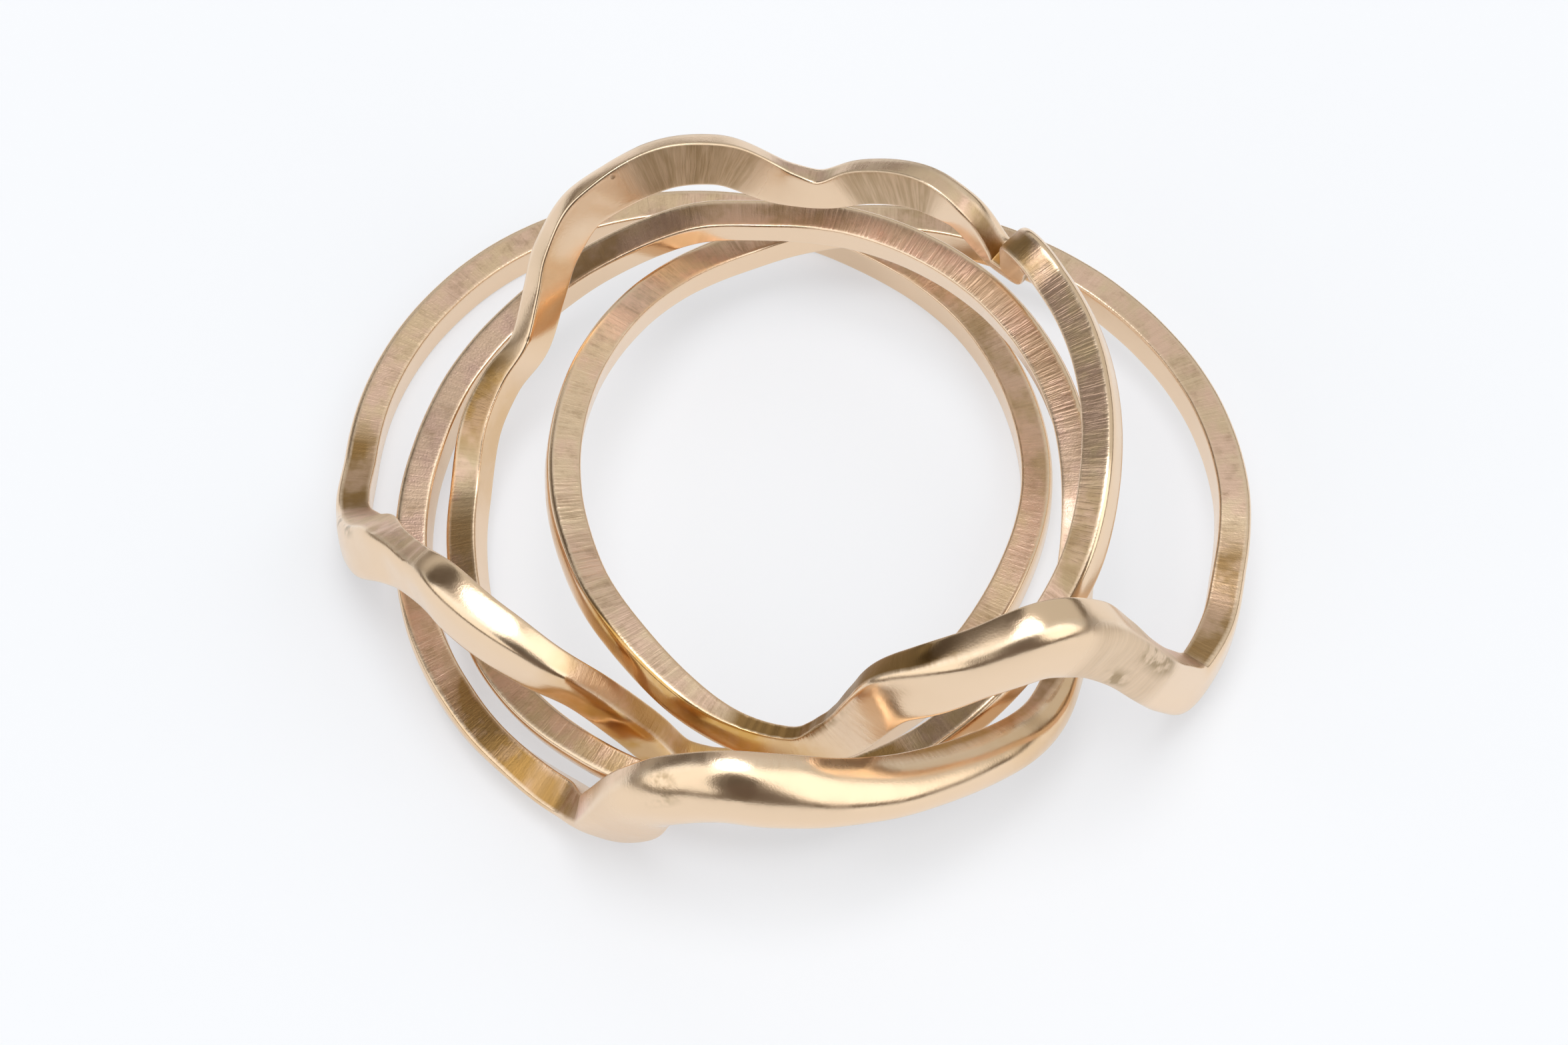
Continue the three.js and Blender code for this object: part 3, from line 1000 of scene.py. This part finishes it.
# %% [markdown]
# ## The finished metal
#
# Each band gets its own copy of the material, because its filed tints are its own. The
# metal is smoothest where it was polished, and duller where it was filed or ground.

# %% The gold
def rose_gold(name):
    """The metal of one band."""
    material = bpy.data.materials.new("rose_gold_" + name)
    material.use_nodes = True
    recipe = Recipe(material.node_tree)
    mark = marks_of(recipe)
    gloss = 0.17 + mark.cloud * 0.07 + mark.ground * 0.16 + mark.sooty * 0.1
    sockets = {
        "Base Color": colour_of(recipe, name, mark),
        "Metallic": 1.0,
        "Roughness": gloss + mark.filed * (0.17 + mark.lines * 0.08),
        "Normal": relief_of(recipe, mark),
    }
    metal = recipe.add("BsdfPrincipled", None, sockets)
    recipe.add("OutputMaterial", None, {"Surface": metal})
    return material


for name, hoop in bands.items():
    hoop.data.materials.append(rose_gold(name))
    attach(hoop, "root")
    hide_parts(name)
print("finished:", [hoop.name for hoop in bands.values()])

# %% [markdown]
# ## The table
#
# Jewellery is shown on a plain white sheet, which also lights it from below: every side
# of the bands that looks down or out mirrors that sheet. It glows a little by itself, as
# paper does that is lit from behind, so that the shadows on it stay pale.

# %% The table
SHEET_SIZE = 1.0  # metres
SHEET_DROP = 0.02  # millimetres below the lowest metal
bpy.ops.object.select_all(action="DESELECT")
bpy.ops.mesh.primitive_plane_add(size=SHEET_SIZE, location=(0, 0, -SHEET_DROP * MM))
table = bpy.context.active_object
table.name = table.data.name = "white_sheet"
bpy.ops.object.transform_apply(location=True, rotation=False, scale=False)
paper = bpy.data.materials.new("white_paper")
paper.use_nodes = True
recipe = Recipe(paper.node_tree)
sheet_sockets = {
    "Base Color": (0.455, 0.47, 0.495, 1),
    "Roughness": 0.6,
    "Emission Color": (0.94, 0.96, 1.0, 1),
    "Emission Strength": 0.48,
}
sheet = recipe.add("BsdfPrincipled", None, sheet_sockets)
recipe.add("OutputMaterial", None, {"Surface": sheet})
table.data.materials.append(paper)
print("table laid,", SHEET_SIZE, "m wide")

# %% [markdown]
# ## The room
#
# Polished metal has no look of its own: it shows the room. So the light is built as a
# room, from a background colour that changes with the direction. It is bright at the
# left, at the right and high in front, and dark behind at the left, lower in front and
# along the horizon. The dark places matter as much as the bright ones, because they draw
# the domes.

# %% The room
GLOWS = (
    # direction, full within, none beyond (both as cosines), colour
    ((-0.60, 0.30, 0.74), 0.915, 0.85, (0.12, 0.10, 0.08, 1)),
    ((0.74, -0.36, 0.57), 0.92, 0.80, (1.60, 1.58, 1.52, 1)),
    ((-0.70, -0.50, 0.50), 0.88, 0.70, (1.25, 1.25, 1.22, 1)),
    ((0.0, -0.34, 0.94), 0.955, 0.89, (1.75, 1.75, 1.72, 1)),
    ((0.0, -0.76, 0.65), 0.945, 0.885, (0.12, 0.10, 0.08, 1)),
    ((0.15, -0.95, 0.28), 0.94, 0.88, (0.14, 0.11, 0.09, 1)),
)
ROOM = (0.66, 0.65, 0.61, 1)
HORIZON = (0.15, 0.12, 0.09, 1)
HORIZON_ENDS = (0.14, 0.24)  # sines of the heights between which its darkness ends
BELOW = (0.96, 0.97, 1.0, 1)
BELOW_ENDS = (-0.05, 0.0)  # and between which the light from below does

world = bpy.data.worlds.new("room")
world.use_nodes = True
bpy.context.scene.world = world
recipe = Recipe(world.node_tree)
look = recipe.add("TexCoord", output="Generated")
room = ROOM
for direction, full, none, colour in GLOWS:
    aim = tuple(Vector(direction).normalized())
    facing = recipe.add("VectorMath", {"operation": "DOT_PRODUCT"}, {0: look, 1: aim}, "Value")
    room = recipe.mix(recipe.between(facing, none, full), room, colour)
rise = recipe.add("SeparateXYZ", None, {0: look}, 2)
room = recipe.mix(recipe.between(rise, *HORIZON_ENDS), HORIZON, room)
room = recipe.mix(recipe.between(rise, *BELOW_ENDS), BELOW, room)
glow = recipe.add("Background", None, {"Color": room, "Strength": 1.0})
recipe.add("OutputWorld", None, {"Surface": glow})
print(len(GLOWS), "glows in the room")

# %% [markdown]
# ## The lamp
#
# One large soft box hangs overhead. It gives the bands their pale soft shadows and puts
# the brightest spot on each dome.

# %% The soft box
def soft_box(name, place, size, watts, colour):
    """A round soft lamp that looks at the middle of the table."""
    lamp = bpy.data.lights.new(name, "AREA")
    lamp.shape = "DISK"
    lamp.size = size
    lamp.energy = watts
    lamp.color = colour
    holder = bpy.data.objects.new(name, lamp)
    holder.location = place
    holder.rotation_euler = (-Vector(place)).to_track_quat("-Z", "Y").to_euler()
    bpy.context.scene.collection.objects.link(holder)
    return holder


overhead = soft_box("overhead_box", (-0.01, -0.02, 0.42), 0.24, 0.46, (1.0, 0.99, 1.0))
print(overhead.name, "hangs", round(overhead.location.z, 2), "m up")

# %% [markdown]
# ## The camera
#
# A long lens looks down at the heap, so that the bands keep their true shapes.

# %% The camera
VIEW_RISE = math.radians(58)
VIEW_DISTANCE = 221  # millimetres
VIEW_HEIGHT = 2.94  # millimetres that the point it looks at is above the table
aim = Vector((HOME[0], HOME[1], HOME[2] + VIEW_HEIGHT)) * MM
away = Vector((0, -math.cos(VIEW_RISE), math.sin(VIEW_RISE)))
lens = bpy.data.cameras.new("camera")
lens.lens = 180
lens.sensor_width = 36
camera = bpy.data.objects.new("camera", lens)
camera.location = aim + away * VIEW_DISTANCE * MM
camera.rotation_euler = (-away).to_track_quat("-Z", "Y").to_euler()
bpy.context.scene.collection.objects.link(camera)
bpy.context.scene.camera = camera
bpy.context.scene.view_settings.view_transform = "Standard"
print("camera", VIEW_DISTANCE, "mm away")
